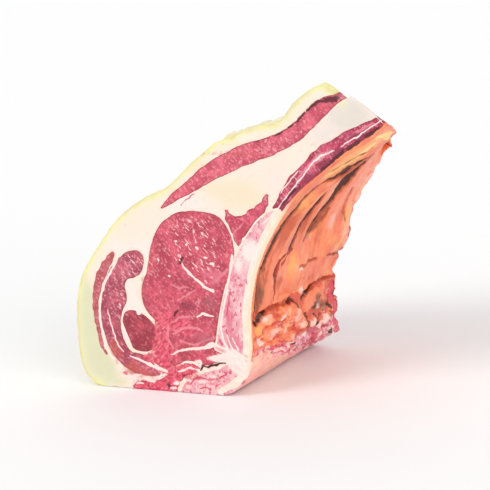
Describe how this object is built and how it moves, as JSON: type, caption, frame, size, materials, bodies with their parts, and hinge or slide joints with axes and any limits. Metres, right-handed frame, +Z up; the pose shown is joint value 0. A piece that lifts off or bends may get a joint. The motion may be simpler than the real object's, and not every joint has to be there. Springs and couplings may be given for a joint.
{
  "type": "bone-in rib steak",
  "caption": "Thick raw bone-in beef rib steak on its sawn backbone edge: layered muscles in a deep fat cover, with curved ribs under a lined hollow side.",
  "frame": {"origin": "on the surface the steak stands on, under the middle of its bounding box", "axes": "+Z up, -Y out of the show cut, +X from the back fat towards the hollow side of the ribs"},
  "size_m": [0.2446, 0.114, 0.2013],
  "materials": {
    "fat": "satin",
    "lean": "moist satin",
    "dark_lean": "moist satin",
    "bone": "matte",
    "lining": "moist gloss"
  },
  "bodies": {
    "root": {"fat_cover": "fat", "eye_muscle": "lean", "cap_muscle": "lean", "round_muscle": "dark_lean", "side_muscle": "lean", "top_muscle": "lean", "corner_muscle": "lean", "base_muscle": "lean", "rib_meat": "dark_lean", "rib_bone_front": "bone", "rib_bone_back": "bone", "backbone": "bone", "rib_lining": "lining"}
  },
  "joints": []
}
